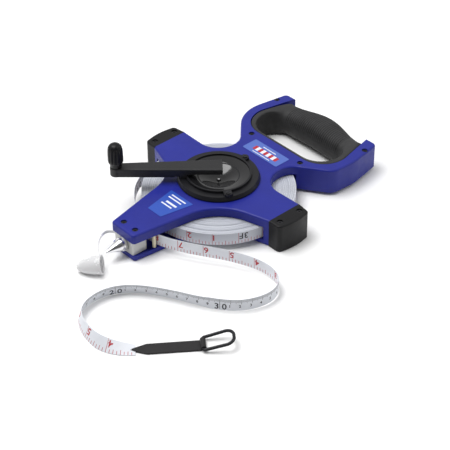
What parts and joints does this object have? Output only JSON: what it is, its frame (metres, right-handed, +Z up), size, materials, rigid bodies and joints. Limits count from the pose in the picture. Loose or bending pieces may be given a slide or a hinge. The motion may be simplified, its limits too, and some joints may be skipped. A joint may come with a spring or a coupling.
{
  "type": "surveyor tape reel",
  "caption": "Open-frame surveyor's tape reel with a D-shaped hand grip, winding crank, stake point with tethered cap, and a loose tape end with a ring.",
  "frame": {"origin": "on the reel's axis, on the plane the case rests on", "axes": "+Z up along the reel's axis, +X from the nose with the stake point to the hand grip, +Y to the left arm seen from the nose's rear"},
  "size_m": [0.3831, 0.2719, 0.0732],
  "materials": {
    "case_blue": "fine satin moulded plastic",
    "cap_black": "satin moulded plastic",
    "grip_rubber": "matt soft rubber, ribbed on the hand bar",
    "block_grey": "smooth grey plastic",
    "point_steel": "polished steel",
    "pin_steel": "bright steel",
    "roller_cream": "smooth plastic",
    "hub_black": "satin moulded plastic",
    "dish_black": "polished in the dish",
    "spool_grey": "moulded plastic",
    "tape_white": "coated fibre tape with printed scales",
    "label_blue": "printed film",
    "sheath_black": "matt sleeve",
    "ring_black": "coated wire",
    "cap_clear": "translucent soft plastic"
  },
  "bodies": {
    "frame": {"top_shell": "case_blue", "bottom_shell": "case_blue", "arm_cap_left": "cap_black", "arm_cap_right": "cap_black", "grip_upper": "grip_rubber", "grip_lower": "grip_rubber", "nose_block": "block_grey", "stake_collar": "block_grey", "stake_point": "point_steel", "roller_pins": "pin_steel", "axle": "pin_steel", "thrust_washer": "roller_cream", "case_screws": "pin_steel", "nose_label": "label_blue", "grip_label": "label_blue", "tape_free": "tape_white", "end_sheath": "sheath_black", "spike_cap": "cap_clear", "cap_strap": "cap_clear"},
    "reel": {"spool": "spool_grey", "tape_roll": "tape_white", "hub_disc": "hub_black", "dish_plate": "hub_black", "dish_bowl": "dish_black", "dish_screws": "pin_steel", "crank_arm": "hub_black", "knob_pin": "pin_steel"},
    "crank_knob": {"knob": "cap_black"},
    "outer_guide": {"outer_roller": "roller_cream"},
    "inner_guide": {"inner_roller": "roller_cream"},
    "ring": {"end_ring": "ring_black"}
  },
  "joints": [
    {"name": "reel_spin", "type": "hinge", "parent": "frame", "child": "reel", "pos_m": [0, 0, 0], "axis": [0, 0, 1], "continuous": true},
    {"name": "knob_spin", "type": "hinge", "parent": "reel", "child": "crank_knob", "pos_m": [-0.0757, 0.0658, 0.05], "axis": [0, 0, 1], "continuous": true},
    {"name": "outer_guide_spin", "type": "hinge", "parent": "frame", "child": "outer_guide", "pos_m": [-0.0975, -0.016, 0.013], "axis": [0, 0, 1], "continuous": true},
    {"name": "inner_guide_spin", "type": "hinge", "parent": "frame", "child": "inner_guide", "pos_m": [-0.0918, -0.0146, 0.013], "axis": [0, 0, 1], "continuous": true},
    {"name": "ring_fold", "type": "hinge", "parent": "frame", "child": "ring", "pos_m": [-0.15261, -0.14858, 0.0026], "axis": [-0.598, -0.8015, 0], "range_deg": [-16, 130]}
  ]
}
